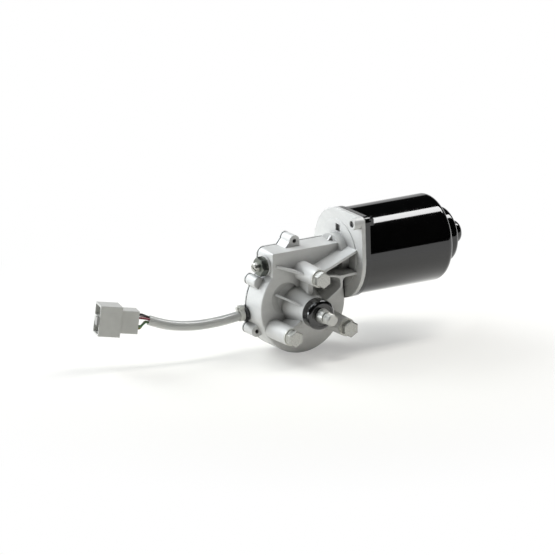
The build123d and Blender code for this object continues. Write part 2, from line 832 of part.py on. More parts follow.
def brush_gear():
    """Holders, brushes and their springs, at each brush angle."""
    holders, brushes, springs = [], [], []
    start = (Align.MIN, Align.CENTER, Align.CENTER)
    inner = commutator_r + holder_gap
    outer_end = commutator_r + brush_length + brush_contact
    for angle in brush_angles:
        frame = brush_frame(angle)
        outside = Box(holder_length, brush_w + 2 * holder_wall, brush_h + 2 * holder_wall, align=start)
        inside = Box(holder_length + 2, brush_w + 2 * seat_gap, brush_h + 2 * seat_gap, align=start)
        holders.append(frame * (Pos(inner, 0, 0) * outside - Pos(inner - 1, 0, 0) * inside))
        block = Pos(commutator_r + brush_contact, 0, 0) * Box(brush_length, brush_w, brush_h, align=start)
        round_end = Cylinder(commutator_r + brush_contact, 40)
        brushes.append(frame * (block - round_end))
        leaf = Pos(outer_end, 0, 0) * Box(spring_t, brush_w, spring_w, align=start)
        tail_l = holder_length - brush_length + 3.4
        tail = Pos(outer_end, 0, (spring_t - spring_w) / 2) * Box(tail_l, brush_w, spring_t, align=start)
        springs.append(frame * (leaf + tail))
    return Compound(children=holders), Compound(children=brushes), Compound(children=springs)


def ball_bearing():
    """Ball bearing of the neck: outer race with shields, balls, inner race."""
    outer_r = bearing_r
    groove_r = (bearing_r - bearing_outer_wall + bearing_inner_r) / 2
    ball_r = (bearing_r - bearing_outer_wall - bearing_inner_r) / 2 + 0.55
    x_to = bearing_x + bearing_width
    middle = bearing_x + bearing_width / 2
    track = Pos(middle, motor_y, motor_z) * (Rot(0, 90, 0) * Torus(groove_r, ball_r + 0.06))
    outer = ring_x(outer_r, bearing_r - bearing_outer_wall, bearing_x, x_to) - track
    inner = ring_x(bearing_inner_r, armature_r, bearing_x, x_to) - track
    balls = []
    for k in range(7):
        y, z = polar(groove_r, 360 * k / 7)
        balls.append(Pos(middle, motor_y + y, motor_z + z) * Sphere(ball_r))
    return outer, inner, Compound(children=balls)


def bearing_retainer():
    """Plate that keeps the ball bearing in the neck."""
    x_from = bearing_x + bearing_width
    return ring_x(bearing_r, bearing_r - bearing_outer_wall, x_from, x_from + retainer_t)


def tail_bearing():
    """Self-aligning bush in the can's tail."""
    inner_r = armature_r + running_gap
    outer_r = tail_r - can_wall - seat_gap
    band = Pos(0, (inner_r + outer_r) / 2) * Rectangle(tail_bearing_length, outer_r - inner_r)
    section = Circle(outer_r) & band
    return Pos(end_boss_x + tail_bearing_place, motor_y, motor_z) * revolve(section, Axis.X)


def tail_retainer():
    """Spring disc that presses the bush into the can's tail."""
    x_to = end_boss_x - can_wall
    outer_r = end_boss_r - can_wall - end_boss_round
    return ring_x(outer_r, tail_r - can_wall - 1.0, x_to - tail_retainer_t, x_to)


def thrust_screw():
    """Slotted adjusting screw that bears on the end of the armature."""
    left = -box_left - adjuster_collar_h - lock_nut_h - adjuster_tip
    screw = round_x(adjuster_r, left, -box_left + adjuster_depth)
    screw = chamfer(screw.edges().group_by(Axis.X)[0], tip_chamfer)
    cut = Pos(motor_y, motor_z) * Rot(0, 0, slot_turn) * Rectangle(3 * adjuster_r, slot_w)
    return screw - along_x(cut, left - 1, left + 1.6)


def thrust_pad():
    """Hard pad between the adjusting screw and the armature."""
    return round_x(adjuster_r, -box_left + adjuster_depth, -pocket_left - worm_end - running_gap)


def lock_nut():
    """Hexagon lock nut with its round flange on the adjusting screw, chamfered at the outer end."""
    x_from = -box_left - adjuster_collar_h - lock_nut_h
    x_to = x_from + lock_nut_h
    section = on_motor(Rot(0, 0, lock_nut_turn) * RegularPolygon(lock_nut_flats / 2, 6, major_radius=False))
    plane = Plane(origin=(x_from, motor_y, motor_z), z_dir=(1, 0, 0))
    half = lock_nut_flats / 2
    bevel = plane * Cone(half, half + lock_nut_h, lock_nut_h, align=(Align.CENTER, Align.CENTER, Align.MIN))
    nut = (along_x(section, x_from, x_to) & bevel) + round_x(nut_flange_r, x_to - nut_flange_t, x_to)
    return nut - round_x(adjuster_r + seat_gap, x_from - 1, x_to + 1)


def worm_bush():
    """Sintered bush at the free end of the worm."""
    return ring_x(worm_bush_r, armature_r + running_gap, -box_left + bush_end, -pocket_left)


def cable_sheath():
    """Sheathed part of the cable: straight runs joined by arcs as large as the runs allow."""
    points = [Vector(*p) for p in cable_route]
    radii = []
    for before, here, after in zip(points, points[1:], points[2:]):
        turn = (here - before).get_angle(after - here)
        shorter = min((here - before).length, (after - here).length)
        radii.append(0.45 * shorter / tan(radians(turn / 2)))
    print("cable radii", [round(r, 1) for r in radii])
    path = FilletPolyline(*points, radius=radii)
    start = points[1] - points[0]
    section = Plane(origin=points[0], z_dir=start) * Circle(cable_d / 2)
    tube = sweep(section, Wire(path.edges()))
    print("cable length", round(path.length, 1))
    return tube


def grommet():
    """Rubber grommet round the cable in the case's side wall."""
    body = along_x(Pos(grommet_y, grommet_z) * Circle(grommet_r), case_left - grommet_out, case_left + 6)
    return body - cable_bore(0)


def cable_clamp():
    """Clamp on the cable beside the case: a band round the sheath, a block above it and its screw."""
    y, z = grommet_y, grommet_z
    sheath_r = cable_d / 2
    face_x = case_left - grommet_out
    band = along_x(Pos(y, z - 0.6) * Circle(sheath_r + clamp_wall), face_x - clamp_w - 0.6, face_x - 0.6)
    corner = (Align.MAX, Align.CENTER, Align.MIN)
    block = Box(clamp_block, clamp_block_w, clamp_block_h, align=corner)
    block = Pos(face_x, y, z + sheath_r + 1.2 - clamp_block_h / 2) * block
    screw_place = Pos(y, z + sheath_r + 1.2) * Circle(clamp_screw_r)
    screw = along_x(screw_place, face_x - clamp_block - clamp_screw_h, face_x - clamp_block)
    return band + block - cable_bore(seat_gap), screw


def cable_bore(gap):
    """Straight stretch of the cable at its exit, as a cutting tool."""
    start = Vector(*cable_route[0])
    run = Vector(*cable_route[1]) - start
    section = Plane(origin=start - run, z_dir=run) * Circle(cable_d / 2 + gap)
    return extrude(section, 3 * run.length)


def connector_frame():
    """Plane at the connector's mouth: local X runs back to the cable, local Z up."""
    return Plane(origin=mouth, x_dir=connector_out, z_dir=connector_up)


def connector_parts():
    """Connector: shell with its cavity and key, terminals and latch."""
    frame = connector_frame()
    start = (Align.MIN, Align.CENTER, Align.CENTER)
    shell = Box(shell_l, shell_d, shell_h, align=start)
    shell = shell + Pos(shell_l, 0, 0) * Box(tail_body_l, tail_body_d, tail_body_h, align=start)
    cavity_h = (shell_h - 2 * shell_wall - key_h) / 2
    for side in (1, -1):
        middle = side * (key_h + cavity_h) / 2
        cavity = Box(shell_depth + 1, shell_d - 2 * shell_wall, cavity_h, align=start)
        shell = shell - Pos(-1, 0, middle) * cavity
    terminals = []
    for y, z in terminal_places():
        pin = Pos(shell_depth - terminal_l, y, z) * Box(terminal_l, terminal_w, terminal_w, align=start)
        terminals.append(frame * pin)
    latch = Pos(-latch_l, -shell_d / 2 + latch_w / 2, 0) * Box(latch_l, latch_w, key_h + 1, align=start)
    return frame * shell, Compound(children=terminals), frame * latch


def terminal_places():
    """Rows of terminals in the connector's two cavities, in its local Y and Z."""
    cavity_h = (shell_h - 2 * shell_wall - key_h) / 2
    high = (key_h + cavity_h) / 2
    return [(-4.2, high), (4.2, high), (-4.6, -high), (0.0, -high), (4.6, -high)]


wire_names = ["wire_black", "wire_red", "wire_white", "wire_green", "wire_yellow"]
wire_ends = [(-2.8, 6.6), (-3.4, 3.6), (1.2, 5.0), (-3.4, -3.6), (-0.6, -6.2)]
wire_starts = [100.0, 28.0, 172.0, -44.0, -116.0]


def lead_wire(index):
    """One insulated wire from the end of the sheath to the connector's back."""
    frame = connector_frame()
    end_y, end_z = wire_ends[index]
    end = frame.from_local_coords(Vector(shell_l + tail_body_l, end_y, end_z))
    before = frame.from_local_coords(Vector(shell_l + tail_body_l + wire_straight, end_y, end_z))
    sheath_end = Vector(*cable_route[-1])
    along = (sheath_end - Vector(*cable_route[-2])).normalized()
    face = Plane(origin=sheath_end, x_dir=Vector(0, 0, 1).cross(along), z_dir=along)
    start = face.from_local_coords(Vector(*polar(wire_circle_r, wire_starts[index]), 0))
    leave = start + along * 2.6
    path = FilletPolyline(start, leave, before, end, radius=[wire_bend_r, wire_bend_r])
    section = Plane(origin=start, z_dir=along) * Circle(wire_d / 2)
    return sweep(section, Wire(path.edges()))


def build():
    """Write every node."""
    holders, brushes, springs = brush_gear()
    outer_race, inner_race, balls = ball_bearing()
    shell, terminals, latch = connector_parts()
    save("gear_housing", gear_housing())
    save("cover_gasket", gasket())
    save("back_cover", cover())
    save("cover_screws", cover_screws())
    save("mounting_bolts", mounting_bolts())
    save("flat_washers", washers(flat_washer_r, -flat_washer_t, 0, False))
    save("spring_washers", washers(spring_washer_r, -flat_washer_t - spring_washer_t, -flat_washer_t, True))
    save("shaft_seal_cap", seal_cap())
    save("front_shaft_bush", shaft_bush(cap_back_y))
    save("rear_shaft_bush", shaft_bush(floor_y - bush_length))
    save("output_shaft", output_shaft())
    save("worm_wheel", worm_wheel())
    save("wheel_hub", wheel_hub())
    save("park_disc", park_disc())
    save("worm_shaft", worm_shaft())
    save("motor_can", motor_can())
    save("can_bolts", can_bolts())
    save("magnets", magnets())
    save("magnet_clips", magnet_clips())
    save("armature_core", armature_core())
    save("armature_windings", windings())
    save("commutator", commutator())
    save("brush_plate", brush_plate())
    save("brush_holders", holders)
    save("carbon_brushes", brushes)
    save("brush_springs", springs)
    save("bearing_outer_race", outer_race)
    save("bearing_inner_race", inner_race)
    save("bearing_balls", balls)
    save("bearing_retainer", bearing_retainer())
    save("tail_bearing", tail_bearing())
    save("tail_retainer", tail_retainer())
    save("thrust_screw", thrust_screw())
    save("thrust_pad", thrust_pad())
    save("thrust_lock_nut", lock_nut())
    save("worm_bush", worm_bush())
    save("cable_sheath", cable_sheath())
    save("cable_grommet", grommet())
    clamp, clamp_screw = cable_clamp()
    save("cable_clamp", clamp)
    save("clamp_screw", clamp_screw)
    save("connector_shell", shell)
    save("connector_terminals", terminals)
    save("connector_latch", latch)
    for index, name in enumerate(wire_names):
        save(name, lead_wire(index))


build()
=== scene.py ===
"""Windscreen wiper motor: the finishes, the free cable and the fine threads round the CAD frame.

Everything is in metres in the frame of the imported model: X runs along the armature towards
the can, Z is up, and the output shaft points along -Y.
"""

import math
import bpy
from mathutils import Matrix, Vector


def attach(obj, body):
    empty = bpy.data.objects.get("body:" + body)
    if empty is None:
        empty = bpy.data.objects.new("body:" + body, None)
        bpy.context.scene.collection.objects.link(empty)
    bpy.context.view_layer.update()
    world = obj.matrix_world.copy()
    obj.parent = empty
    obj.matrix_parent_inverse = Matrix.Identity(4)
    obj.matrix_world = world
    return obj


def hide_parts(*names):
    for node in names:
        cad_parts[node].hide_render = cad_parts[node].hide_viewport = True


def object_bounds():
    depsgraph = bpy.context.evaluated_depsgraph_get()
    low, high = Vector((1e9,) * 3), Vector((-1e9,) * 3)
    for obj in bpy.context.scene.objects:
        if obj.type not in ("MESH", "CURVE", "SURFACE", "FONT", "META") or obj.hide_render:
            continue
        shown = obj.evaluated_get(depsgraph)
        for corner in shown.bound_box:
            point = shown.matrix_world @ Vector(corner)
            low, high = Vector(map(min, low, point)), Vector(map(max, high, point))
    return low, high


bl_info = {
    "name": "Wiper Motor",
    "version": (1, 0, 0),
    "blender": (4, 5, 0),
    "location": "View3D > Sidebar > Wiper Motor",
    "description": "Finishes, cable, threads and studio for a worm-geared wiper motor",
    "category": "Object",
}

import bpy
import numpy as np
from mathutils import Vector

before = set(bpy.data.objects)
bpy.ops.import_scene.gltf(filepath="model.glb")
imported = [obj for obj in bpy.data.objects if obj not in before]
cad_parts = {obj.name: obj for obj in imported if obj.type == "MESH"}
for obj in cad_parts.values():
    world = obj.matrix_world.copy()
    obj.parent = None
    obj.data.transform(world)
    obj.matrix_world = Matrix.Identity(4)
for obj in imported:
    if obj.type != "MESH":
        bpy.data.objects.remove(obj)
CAD_BOX = [list(corner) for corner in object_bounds()]

MM = 0.001

# The photograph's view of the motor, and the scale of its picture
VIEW_AZIMUTH = math.radians(-32)
VIEW_ELEVATION = math.radians(17)
PICTURE_WIDTH = 475.2 * MM
CAMERA_DISTANCE = 18.0
SENSOR_WIDTH = 36.0
AIM_RIGHT = -35.3 * MM
AIM_UP = 31.3 * MM

# The free cable from its grommet to the lead wires, as the CAD has it
CABLE_ROUTE = [
    (-0.0380, 0.0513, -0.0060),
    (-0.0550, 0.0516, -0.0080),
    (-0.0720, 0.0526, -0.0096),
    (-0.0890, 0.0549, -0.0101),
    (-0.1050, 0.0584, -0.0089),
    (-0.1190, 0.0628, -0.0060),
    (-0.1298, 0.0670, -0.0018),
]

# Where the two threads start: on the shaft past its neck, and on the adjuster at its nut
THREAD_START = (0.0, -0.0152, 0.0)
NUT_FACE = (-0.0381, 0.0383, 0.038175)

LEAD_WIRES = {
    "black": "#0B0A12",
    "red": "#86162F",
    "white": "#D8B8C0",
    "green": "#2C6420",
    "yellow": "#8A8428",
}


# Settings that a user would change

class MotorColours(bpy.types.PropertyGroup):
    """The colours of the motor's finishes, as sRGB hex values"""

    casting: bpy.props.StringProperty(
        name="Casting", description="Bead-blasted aluminium die castings", default="#DBDBD9")
    enamel: bpy.props.StringProperty(
        name="Can enamel", description="Stoved gloss enamel on the motor can", default="#040404")
    zinc: bpy.props.StringProperty(
        name="Zinc plate", description="Zinc plate on bolts, screws and washers", default="#B6B6B1")
    cable: bpy.props.StringProperty(
        name="Cable jacket", description="Extruded PVC jacket of the cable", default="#BDBEBA")
    connector: bpy.props.StringProperty(
        name="Connector", description="Moulded natural nylon shell", default="#C4C4BF")
    rubber: bpy.props.StringProperty(
        name="Rubber", description="Gloss moulded nitrile rubber", default="#0A0A0A")


class MotorSizes(bpy.types.PropertyGroup):
    """The sizes of the pieces that are added round the CAD nodes"""

    cable_diameter: bpy.props.FloatProperty(
        name="Cable diameter", description="Outside diameter of the jacket",
        default=8.6 * MM, min=3 * MM, max=20 * MM, unit="LENGTH", subtype="DISTANCE")
    shaft_pitch: bpy.props.FloatProperty(
        name="Shaft thread pitch", description="Pitch of the thread on the output shaft's end",
        default=1.25 * MM, min=0.5 * MM, max=3 * MM, unit="LENGTH", subtype="DISTANCE")
    adjuster_pitch: bpy.props.FloatProperty(
        name="Adjuster thread pitch", description="Pitch of the thread on the thrust screw",
        default=1.0 * MM, min=0.5 * MM, max=3 * MM, unit="LENGTH", subtype="DISTANCE")


class StudioSettings(bpy.types.PropertyGroup):
    """The plain studio: soft lamps, ambient light and a pale floor"""

    overhead: bpy.props.FloatProperty(
        name="Overhead strip", description="Power of the strip above the motor",
        default=7.6, min=0, unit="POWER")
    low: bpy.props.FloatProperty(
        name="Low panel", description="Power of the low panel to the left",
        default=6.2, min=0, unit="POWER")
    back: bpy.props.FloatProperty(
        name="Back panel", description="Power of the large panel behind and above",
        default=17.0, min=0, unit="POWER")
    top: bpy.props.FloatProperty(
        name="Top panel", description="Power of the large panel above, to the left",
        default=5.4, min=0, unit="POWER")
    front: bpy.props.FloatProperty(
        name="Front lamp", description="Power of the small lamp high in front, for the glints",
        default=1.4, min=0, unit="POWER")
    ambient: bpy.props.FloatProperty(
        name="Ambient", description="Strength of the light from all round",
        default=0.09, min=0)
    floor: bpy.props.StringProperty(
        name="Floor", description="Colour of the floor", default="#FBF9F2")
    light: bpy.props.StringProperty(
        name="Light", description="Colour of the panels, a cool white", default="#F6FBFF")


# Colours, node trees and finishes

def linear(colour):
    """Turn an sRGB hex colour into the linear RGBA that a shader's socket takes."""
    parts = [int(colour[i:i + 2], 16) / 255 for i in (1, 3, 5)]
    straight = [p / 12.92 if p <= 0.04045 else ((p + 0.055) / 1.055) ** 2.4 for p in parts]
    return (*straight, 1.0)


def add_node(tree, kind, inputs=None, **settings):
    """Add a node with its settings, and give each input a value or the socket that feeds it."""
    node = tree.nodes.new(kind)
    for name, value in settings.items():
        setattr(node, name, value)
    for name, value in (inputs or {}).items():
        if isinstance(value, bpy.types.NodeSocket):
            tree.links.new(value, node.inputs[name])
        else:
            node.inputs[name].default_value = value
    return node


def new_finish(name, **sockets):
    """Start a material: its tree, its Principled shader with these sockets set, and the place."""
    material = bpy.data.materials.new(name)
    material.use_nodes = True
    tree = material.node_tree
    shader = tree.nodes["Principled BSDF"]
    for socket, value in sockets.items():
        shader.inputs[socket.replace("_", " ")].default_value = value
    place = add_node(tree, "ShaderNodeTexCoord").outputs["Object"]
    return material, tree, shader, place


def per_mm(size):
    """The scale of a pattern whose features are this many millimetres across."""
    return 1000.0 / size


def bands_per_mm(period):
    """The scale of a wave texture whose bands lie this many millimetres apart: a wave texture
    at scale 1 repeats every 2 pi / 20 of a unit."""
    return 2 * math.pi / 20 * 1000.0 / period


def noise(tree, place, size, detail=3.0, stretch=None):
    """A noise value whose features are about size millimetres, drawn out along stretch."""
    if stretch is not None:
        place = add_node(tree, "ShaderNodeMapping", {"Vector": place, "Scale": stretch}).outputs[0]
    return add_node(tree, "ShaderNodeTexNoise",
                    {"Vector": place, "Scale": per_mm(size), "Detail": detail}).outputs["Fac"]


def spread(tree, value, low, high):
    """Map a pattern's middle range, 0.3 to 0.7, to the range from low to high."""
    return add_node(tree, "ShaderNodeMapRange", {
        "Value": value, "From Min": 0.3, "From Max": 0.7, "To Min": low, "To Max": high}).outputs[0]


def tint(tree, value, dark, light):
    """Go from one hex colour to the other as the pattern's value rises from 0.3 to 0.7."""
    mix = add_node(tree, "ShaderNodeMix", {"Factor": spread(tree, value, 0.0, 1.0)},
                   data_type="RGBA")
    # The colour sockets of a mix node share their names with others, so they go by number
    mix.inputs[6].default_value = linear(dark)
    mix.inputs[7].default_value = linear(light)
    return mix.outputs[2]


def shade(colour, share):
    """The hex colour made darker, or lighter above 1, by this share of its sRGB value."""
    parts = [min(255, round(int(colour[i:i + 2], 16) * share)) for i in (1, 3, 5)]
    return "#" + "".join(f"{p:02X}" for p in parts)


def soft_edge(tree, radius):
    """A normal that rounds the edges of a solid by this radius in millimetres."""
    return add_node(tree, "ShaderNodeBevel", {"Radius": radius * MM}, samples=6).outputs[0]


def bump(tree, height, depth, normal=None):
    """A normal bumped by the pattern, whose full height is depth millimetres."""
    inputs = {"Height": height, "Distance": depth * MM, "Strength": 1.0}
    if normal is not None:
        inputs["Normal"] = normal
    return add_node(tree, "ShaderNodeBump", inputs).outputs[0]


def connect(tree, shader, **links):
    """Link these outputs to the shader's sockets."""
    for socket, output in links.items():
        tree.links.new(output, shader.inputs[socket.replace("_", " ")])


def die_cast_aluminium(colour):
    """Die-cast aluminium with a bead-blast finish: a pale, even, satin metal with faint flow
    marks, soft corners and a fine grain from the blast that breaks up its reflections. Its colour
    is darkened by painted shade in pockets and corners, where an ambient occlusion node finds them."""
    material, tree, shader, place = new_finish(
        "bead_blasted_die_cast_aluminium", Metallic=0.5, Roughness=0.5)
    flow = noise(tree, place, 18, stretch=(1, 1, 2.5))
    # The real grain is about 0.1 mm, drawn at 0.45 mm so that it shows
    grain = noise(tree, place, 0.45, detail=2)
    pits = noise(tree, place, 2.2, detail=4)
    rounded = soft_edge(tree, 0.7)
    skin = tint(tree, flow, shade(colour, 0.965), colour)
    # Painted shade: the colour falls to about a third where almost nothing lies open within 12 mm
    open_share = add_node(tree, "ShaderNodeAmbientOcclusion", {"Distance": 12 * MM},
                          samples=8).outputs["AO"]
    painted_shade = add_node(tree, "ShaderNodeMapRange", {
        "Value": open_share, "From Min": 0.1, "From Max": 0.75, "To Min": 0.35, "To Max": 1.0})
    shaded_skin = add_node(tree, "ShaderNodeVectorMath", {0: skin}, operation="SCALE")
    tree.links.new(painted_shade.outputs[0], shaded_skin.inputs["Scale"])
    connect(tree, shader,
            Base_Color=shaded_skin.outputs[0],
            Roughness=spread(tree, pits, 0.56, 0.68),
            Normal=bump(tree, grain, 0.02, bump(tree, pits, 0.03, rounded)))
    return material


def stoved_enamel(colour):
    """Stoved black enamel on deep-drawn steel: a wet gloss with the slightest orange peel."""
    material, tree, shader, place = new_finish(
        "stoved_black_enamel", Roughness=0.08, IOR=1.5, Coat_Weight=0.6, Coat_Roughness=0.03)
    peel = noise(tree, place, 3.0, detail=1)
    dust = noise(tree, place, 9.0)
    connect(tree, shader,
            Base_Color=tint(tree, dust, colour, shade(colour, 1.5)),
            Roughness=spread(tree, dust, 0.06, 0.1),
            Normal=bump(tree, peel, 0.003, soft_edge(tree, 0.35)))
    return material


def plated_steel(name, colour, roughness, metallic=1.0, edge=0.25):
    """Plated or bare metal whose dull crystalline bloom shifts its roughness. It is less
    metallic where its plate is dull, and its edges are rounded by edge millimetres."""
    material, tree, shader, place = new_finish(name, Metallic=metallic, Roughness=roughness)
    bloom = noise(tree, place, 4.0)
    scratches = noise(tree, place, 0.6, detail=2)
    connect(tree, shader,
            Base_Color=tint(tree, bloom, shade(colour, 0.93), colour),
            Roughness=spread(tree, bloom, roughness * 0.8, roughness * 1.25),
            Normal=bump(tree, scratches, 0.006, soft_edge(tree, edge)))
    return material


def turned_metal(name, colour, roughness, axis):
    """Turned or ground metal: a bright metal with fine rings round its axis, drawn about four
    times as coarse as the real cut so that they show."""
    material, tree, shader, place = new_finish(name, Metallic=1.0, Roughness=roughness)
    rings = add_node(tree, "ShaderNodeTexWave", {
        "Vector": place, "Scale": bands_per_mm(0.35), "Distortion": 0.6, "Detail": 2.0,
        "Detail Scale": 2.0}, bands_direction=axis).outputs["Fac"]
    stain = noise(tree, place, 5.0)
    connect(tree, shader,
            Base_Color=tint(tree, stain, shade(colour, 0.92), colour),
            Roughness=spread(tree, stain, roughness * 0.85, roughness * 1.3),
            Normal=bump(tree, rings, 0.004, soft_edge(tree, 0.2)))
    return material


def moulded_rubber(colour):
    """Gloss moulded nitrile rubber: near black, with a thin oily sheen and a soft skin."""
    material, tree, shader, place = new_finish(
        "moulded_nitrile_rubber", Roughness=0.16, IOR=1.48, Coat_Weight=1.0, Coat_Roughness=0.02)
    skin = noise(tree, place, 1.2)
    bloom = noise(tree, place, 6.0)
    connect(tree, shader,
            Base_Color=tint(tree, bloom, colour, shade(colour, 1.8)),
            Roughness=spread(tree, bloom, 0.12, 0.2),
            Normal=bump(tree, skin, 0.003, soft_edge(tree, 0.3)))
    return material


def moulded_plastic(name, colour, roughness=0.38):
    """Moulded plastic: an even colour with a faint spark-eroded texture and rounded edges."""
    material, tree, shader, place = new_finish(
        name, Roughness=roughness, IOR=1.53, Coat_Weight=1.0, Coat_Roughness=0.2)
    eroded = noise(tree, place, 0.7, detail=2)
    cloud = noise(tree, place, 8.0)
    connect(tree, shader,
            Base_Color=tint(tree, cloud, shade(colour, 0.96), colour),
            Roughness=spread(tree, eroded, roughness - 0.05, roughness + 0.08),
            Normal=bump(tree, eroded, 0.012, soft_edge(tree, 0.4)))
    return material


def extruded_pvc(name, colour, roughness=0.38):
    """Extruded PVC: a smooth glossy skin with the long, slow ripples of the extruder."""
    material, tree, shader, place = new_finish(
        name, Roughness=roughness, IOR=1.53, Coat_Weight=1.0, Coat_Roughness=0.05)
    ripple = noise(tree, place, 2.5, detail=2, stretch=(0.15, 1, 1))
    handling = noise(tree, place, 12.0)
    connect(tree, shader,
            Base_Color=tint(tree, handling, shade(colour, 0.96), colour),
            Roughness=spread(tree, handling, roughness * 0.85, roughness * 1.3),
            Normal=bump(tree, ripple, 0.005))
    return material


def matt_solid(name, colour, roughness, grain):
    """A matt pressed or fired solid, such as gasket sheet, ferrite or carbon, whose grain is
    this many millimetres across."""
    material, tree, shader, place = new_finish(name, Roughness=roughness, IOR=1.45)
    grains = noise(tree, place, grain, detail=4)
    connect(tree, shader,
            Base_Color=tint(tree, grains, shade(colour, 0.8), colour),
            Roughness=spread(tree, grains, roughness - 0.06, min(1.0, roughness + 0.06)),
            Normal=bump(tree, grains, 0.02))
    return material


def stacked_sheet(name, dark, light, axis, period, metallic, roughness):
    """Stacked laminations or close-wound wire: even bands along one axis, period millimetres
    apart and dark at the joints."""
    material, tree, shader, place = new_finish(name, Metallic=metallic, Roughness=roughness)
    bands = add_node(tree, "ShaderNodeTexWave", {
        "Vector": place, "Scale": bands_per_mm(period), "Distortion": 0.3, "Detail": 1.0,
    }, bands_direction=axis).outputs["Fac"]
    connect(tree, shader,
            Base_Color=tint(tree, bands, dark, light),
            Normal=bump(tree, bands, period * 0.2))
    return material


def finish_nodes(material, *names):
    """Give these CAD nodes one material, in place of the plain one that they came with."""
    for name in names:
        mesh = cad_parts[name].data
        mesh.materials.clear()
        mesh.materials.append(material)


# Surfaces

def tube_from_rings(name, points, material):
    """Make a closed tube from points of shape (rings, points in a ring, 3): each cell between
    two rings is one face, and one face shuts each end."""
    rings, ring_size = points.shape[:2]
    index = np.arange(rings * ring_size).reshape(rings, ring_size)
    lower = index[:-1]
    upper = index[1:]
    quads = np.stack([lower, np.roll(lower, -1, axis=1), np.roll(upper, -1, axis=1), upper], axis=-1)
    faces = quads.reshape(-1, 4).tolist()
    faces += [index[0, ::-1].tolist(), index[-1].tolist()]
    mesh = bpy.data.meshes.new(name)
    mesh.from_pydata(points.reshape(-1, 3).tolist(), [], faces)
    mesh.update()
    mesh.materials.append(material)
    piece = bpy.data.objects.new(name, mesh)
    bpy.context.scene.collection.objects.link(piece)
    return piece


# A thread's section: how far its four corners stand proud, in depths of the thread, and where
# they lie along it, in pitches. The foot is sunk a little into the shaft
RIDGE_RISE = np.array([-0.15, 1.0, 1.0, -0.15])
RIDGE_ALONG = np.array([-0.42, -0.07, 0.07, 0.42])
STEPS_PER_TURN = 40
FADED = 0.02


def thread_ridge(name, material, centre, axis, radius, depth, pitch, length):
    """A screw thread's ridge. Its section is a trapezoid with a narrow crest that stands depth
    proud of the radius, on a foot most of a pitch wide. The section at turn t lies at the angle
    2 pi t round the axis and t pitches along it. It shrinks to almost nothing over the first
    and last half-turn, and the ridge is one closed tube."""
    turns = length / pitch
    turn = np.linspace(0.0, turns, int(turns * STEPS_PER_TURN))
    fade = np.clip(np.minimum(turn, turns - turn) * 2, FADED, 1.0)
    rise = RIDGE_RISE[None, :] * depth * fade[:, None]
    along = RIDGE_ALONG[None, :] * pitch * fade[:, None]
    axis = np.array(axis, float)
    across = np.array([1.0, 0, 0]) if abs(axis[0]) < 0.5 else np.array([0, 0, 1.0])
    other = np.cross(axis, across)
    angle = 2 * np.pi * turn
    outward = np.cos(angle)[:, None] * across + np.sin(angle)[:, None] * other
    reach = (radius + rise)[..., None] * outward[:, None, :]
    climb = (turn[:, None] * pitch + along)[..., None] * axis
    return tube_from_rings(name, np.array(centre) + reach + climb, material)


# Operators, one for each group of pieces

class MotorStep(bpy.types.Operator):
    """A step that dresses one group of the motor's pieces"""

    bl_idname = "motor.step"
    bl_label = "Step"
    bl_options = {"REGISTER", "UNDO"}


class MOTOR_OT_castings(MotorStep):
    """Finish the die-cast gear housing and its back cover"""

    bl_idname = "motor.castings"
    bl_label = "Die castings"

    def execute(self, context):
        finish_nodes(die_cast_aluminium(context.scene.motor_colours.casting),
                     "gear_housing", "back_cover")
        finish_nodes(matt_solid("gasket_paper", "#0D0D0D", 0.85, grain=1.0), "cover_gasket")
        return {"FINISHED"}


class MOTOR_OT_can(MotorStep):
    """Finish the drawn steel can and the bolts that were painted with it"""

    bl_idname = "motor.can"
    bl_label = "Motor can"

    def execute(self, context):
        finish_nodes(stoved_enamel(context.scene.motor_colours.enamel), "motor_can", "can_bolts")
        return {"FINISHED"}


class MOTOR_OT_fasteners(MotorStep):
    """Finish the bolts, screws and washers"""

    bl_idname = "motor.fasteners"
    bl_label = "Fasteners"

    def execute(self, context):
        colour = context.scene.motor_colours.zinc
        bright = plated_steel("bright_zinc_plate", colour, 0.28, edge=0.9)
        finish_nodes(bright, "mounting_bolts", "cover_screws")
        dull = plated_steel("dull_zinc_plate", shade(colour, 1.2), 0.45, metallic=0.5)
        finish_nodes(dull, "flat_washers", "spring_washers", "cable_clamp", "clamp_screw")
        return {"FINISHED"}


class MOTOR_OT_adjuster(MotorStep):
    """Finish the thrust screw and its lock nut, and cut the screw's thread"""

    bl_idname = "motor.adjuster"
    bl_label = "Thrust adjuster"

    def execute(self, context):
        steel = turned_metal("turned_zinc_plated_steel", "#C8C8C2", 0.28, "X")
        finish_nodes(steel, "thrust_screw")
        finish_nodes(plated_steel("olive_phosphated_steel", "#7C7F78", 0.36), "thrust_lock_nut")
        thread = thread_ridge(
            "thrust_screw_thread", steel, NUT_FACE, (-1, 0, 0), radius=4.0 * MM, depth=0.2 * MM,
            pitch=context.scene.motor_sizes.adjuster_pitch, length=3.4 * MM)
        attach(thread, "housing")
        return {"FINISHED"}


class MOTOR_OT_output_shaft(MotorStep):
    """Finish the output shaft and cut the thread on its end"""

    bl_idname = "motor.output_shaft"
    bl_label = "Output shaft"

    def execute(self, context):
        steel = turned_metal("ground_steel", "#CFCFCA", 0.42, "Y")
        finish_nodes(steel, "output_shaft")
        thread = thread_ridge(
            "output_shaft_thread", steel, THREAD_START, (0, -1, 0), radius=5.0 * MM,
            depth=0.25 * MM, pitch=context.scene.motor_sizes.shaft_pitch, length=7.0 * MM)
        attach(thread, "output")
        return {"FINISHED"}


class MOTOR_OT_seals(MotorStep):
    """Finish the rubber cap round the shaft and the cable's grommet"""

    bl_idname = "motor.seals"
    bl_label = "Rubber seals"

    def execute(self, context):
        finish_nodes(moulded_rubber(context.scene.motor_colours.rubber),
                     "shaft_seal_cap", "cable_grommet")
        return {"FINISHED"}


